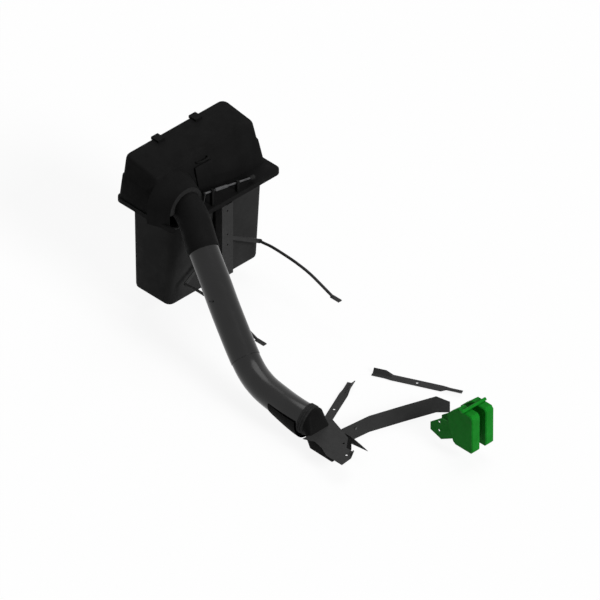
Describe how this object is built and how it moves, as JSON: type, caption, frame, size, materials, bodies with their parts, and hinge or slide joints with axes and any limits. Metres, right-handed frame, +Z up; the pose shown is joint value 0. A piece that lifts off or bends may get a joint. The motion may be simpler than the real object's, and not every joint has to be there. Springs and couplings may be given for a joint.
{
  "type": "twin bagger grass collector",
  "caption": "Rear grass collector for a ride-on mower: twin bags under a hinged hood, with chute, deck adapter, blades, baffle and front weights.",
  "frame": {"origin": "middle of the mast's front face, where the machine's hitch plate is bolted on", "axes": "+X to the machine's left, +Y to its rear, +Z up"},
  "size_m": [1.311, 2.944, 1.224],
  "materials": {
    "black_plastic": "moulded black, satin",
    "bag_plastic": "moulded black, dull",
    "tube_plastic": "smooth black with a sheen",
    "rubber": "dull black",
    "black_steel": "black powder coat",
    "grey_steel": "dark zinc",
    "green_paint": "green enamel"
  },
  "bodies": {
    "frame": {"elbow": "black_plastic", "adapter_duct": "black_plastic", "adapter_trough": "black_plastic", "bag_left": "bag_plastic", "bag_right": "bag_plastic", "upper_tube": "tube_plastic", "lower_tube": "tube_plastic", "elbow_collar": "rubber", "ribbed_collar": "rubber", "mast": "black_steel", "rail_loop": "black_steel", "centre_rail": "black_steel", "brace_left": "black_steel", "brace_right": "black_steel", "stabiliser_left": "black_steel", "stabiliser_right": "black_steel", "hinge_bracket_left": "black_steel", "hinge_bracket_right": "black_steel", "elbow_bracket": "black_steel", "bag_handle_left": "black_steel", "bag_handle_right": "black_steel", "deck_plate": "black_steel", "guide_fin": "black_steel", "wing_screw": "black_steel", "baffle": "black_steel", "blade_left": "black_steel", "blade_right": "black_steel", "tube_clip": "black_steel", "brace_bolt_left": "grey_steel", "brace_bolt_right": "grey_steel", "tube_bolt_1": "grey_steel", "tube_bolt_2": "grey_steel", "tube_bolt_3": "grey_steel", "baffle_bolt": "grey_steel", "weight_left": "green_paint", "weight_right": "green_paint", "weight_bar": "green_paint", "weight_bracket": "green_paint"},
    "hood": {"hood_cover": "black_plastic", "hood_grip": "black_plastic", "latch_plate": "black_plastic", "latch_stand_1": "black_plastic", "latch_stand_2": "black_plastic", "inlet_seal": "rubber", "hinge_leaf_left": "black_steel", "hinge_leaf_right": "black_steel"},
    "latch": {"latch_rod": "grey_steel", "latch_sleeve": "grey_steel", "latch_lever": "black_steel", "latch_knob": "rubber"}
  },
  "joints": [
    {"name": "hood_hinge", "type": "hinge", "parent": "frame", "child": "hood", "pos_m": [0, 0.53, 0.14], "axis": [-1, 0, 0], "range_deg": [0, 70]},
    {"name": "latch_turn", "type": "hinge", "parent": "hood", "child": "latch", "pos_m": [-0.19, 0.03, 0.315], "axis": [-0.9797, 0, 0.2005], "range_deg": [0, 60]}
  ]
}
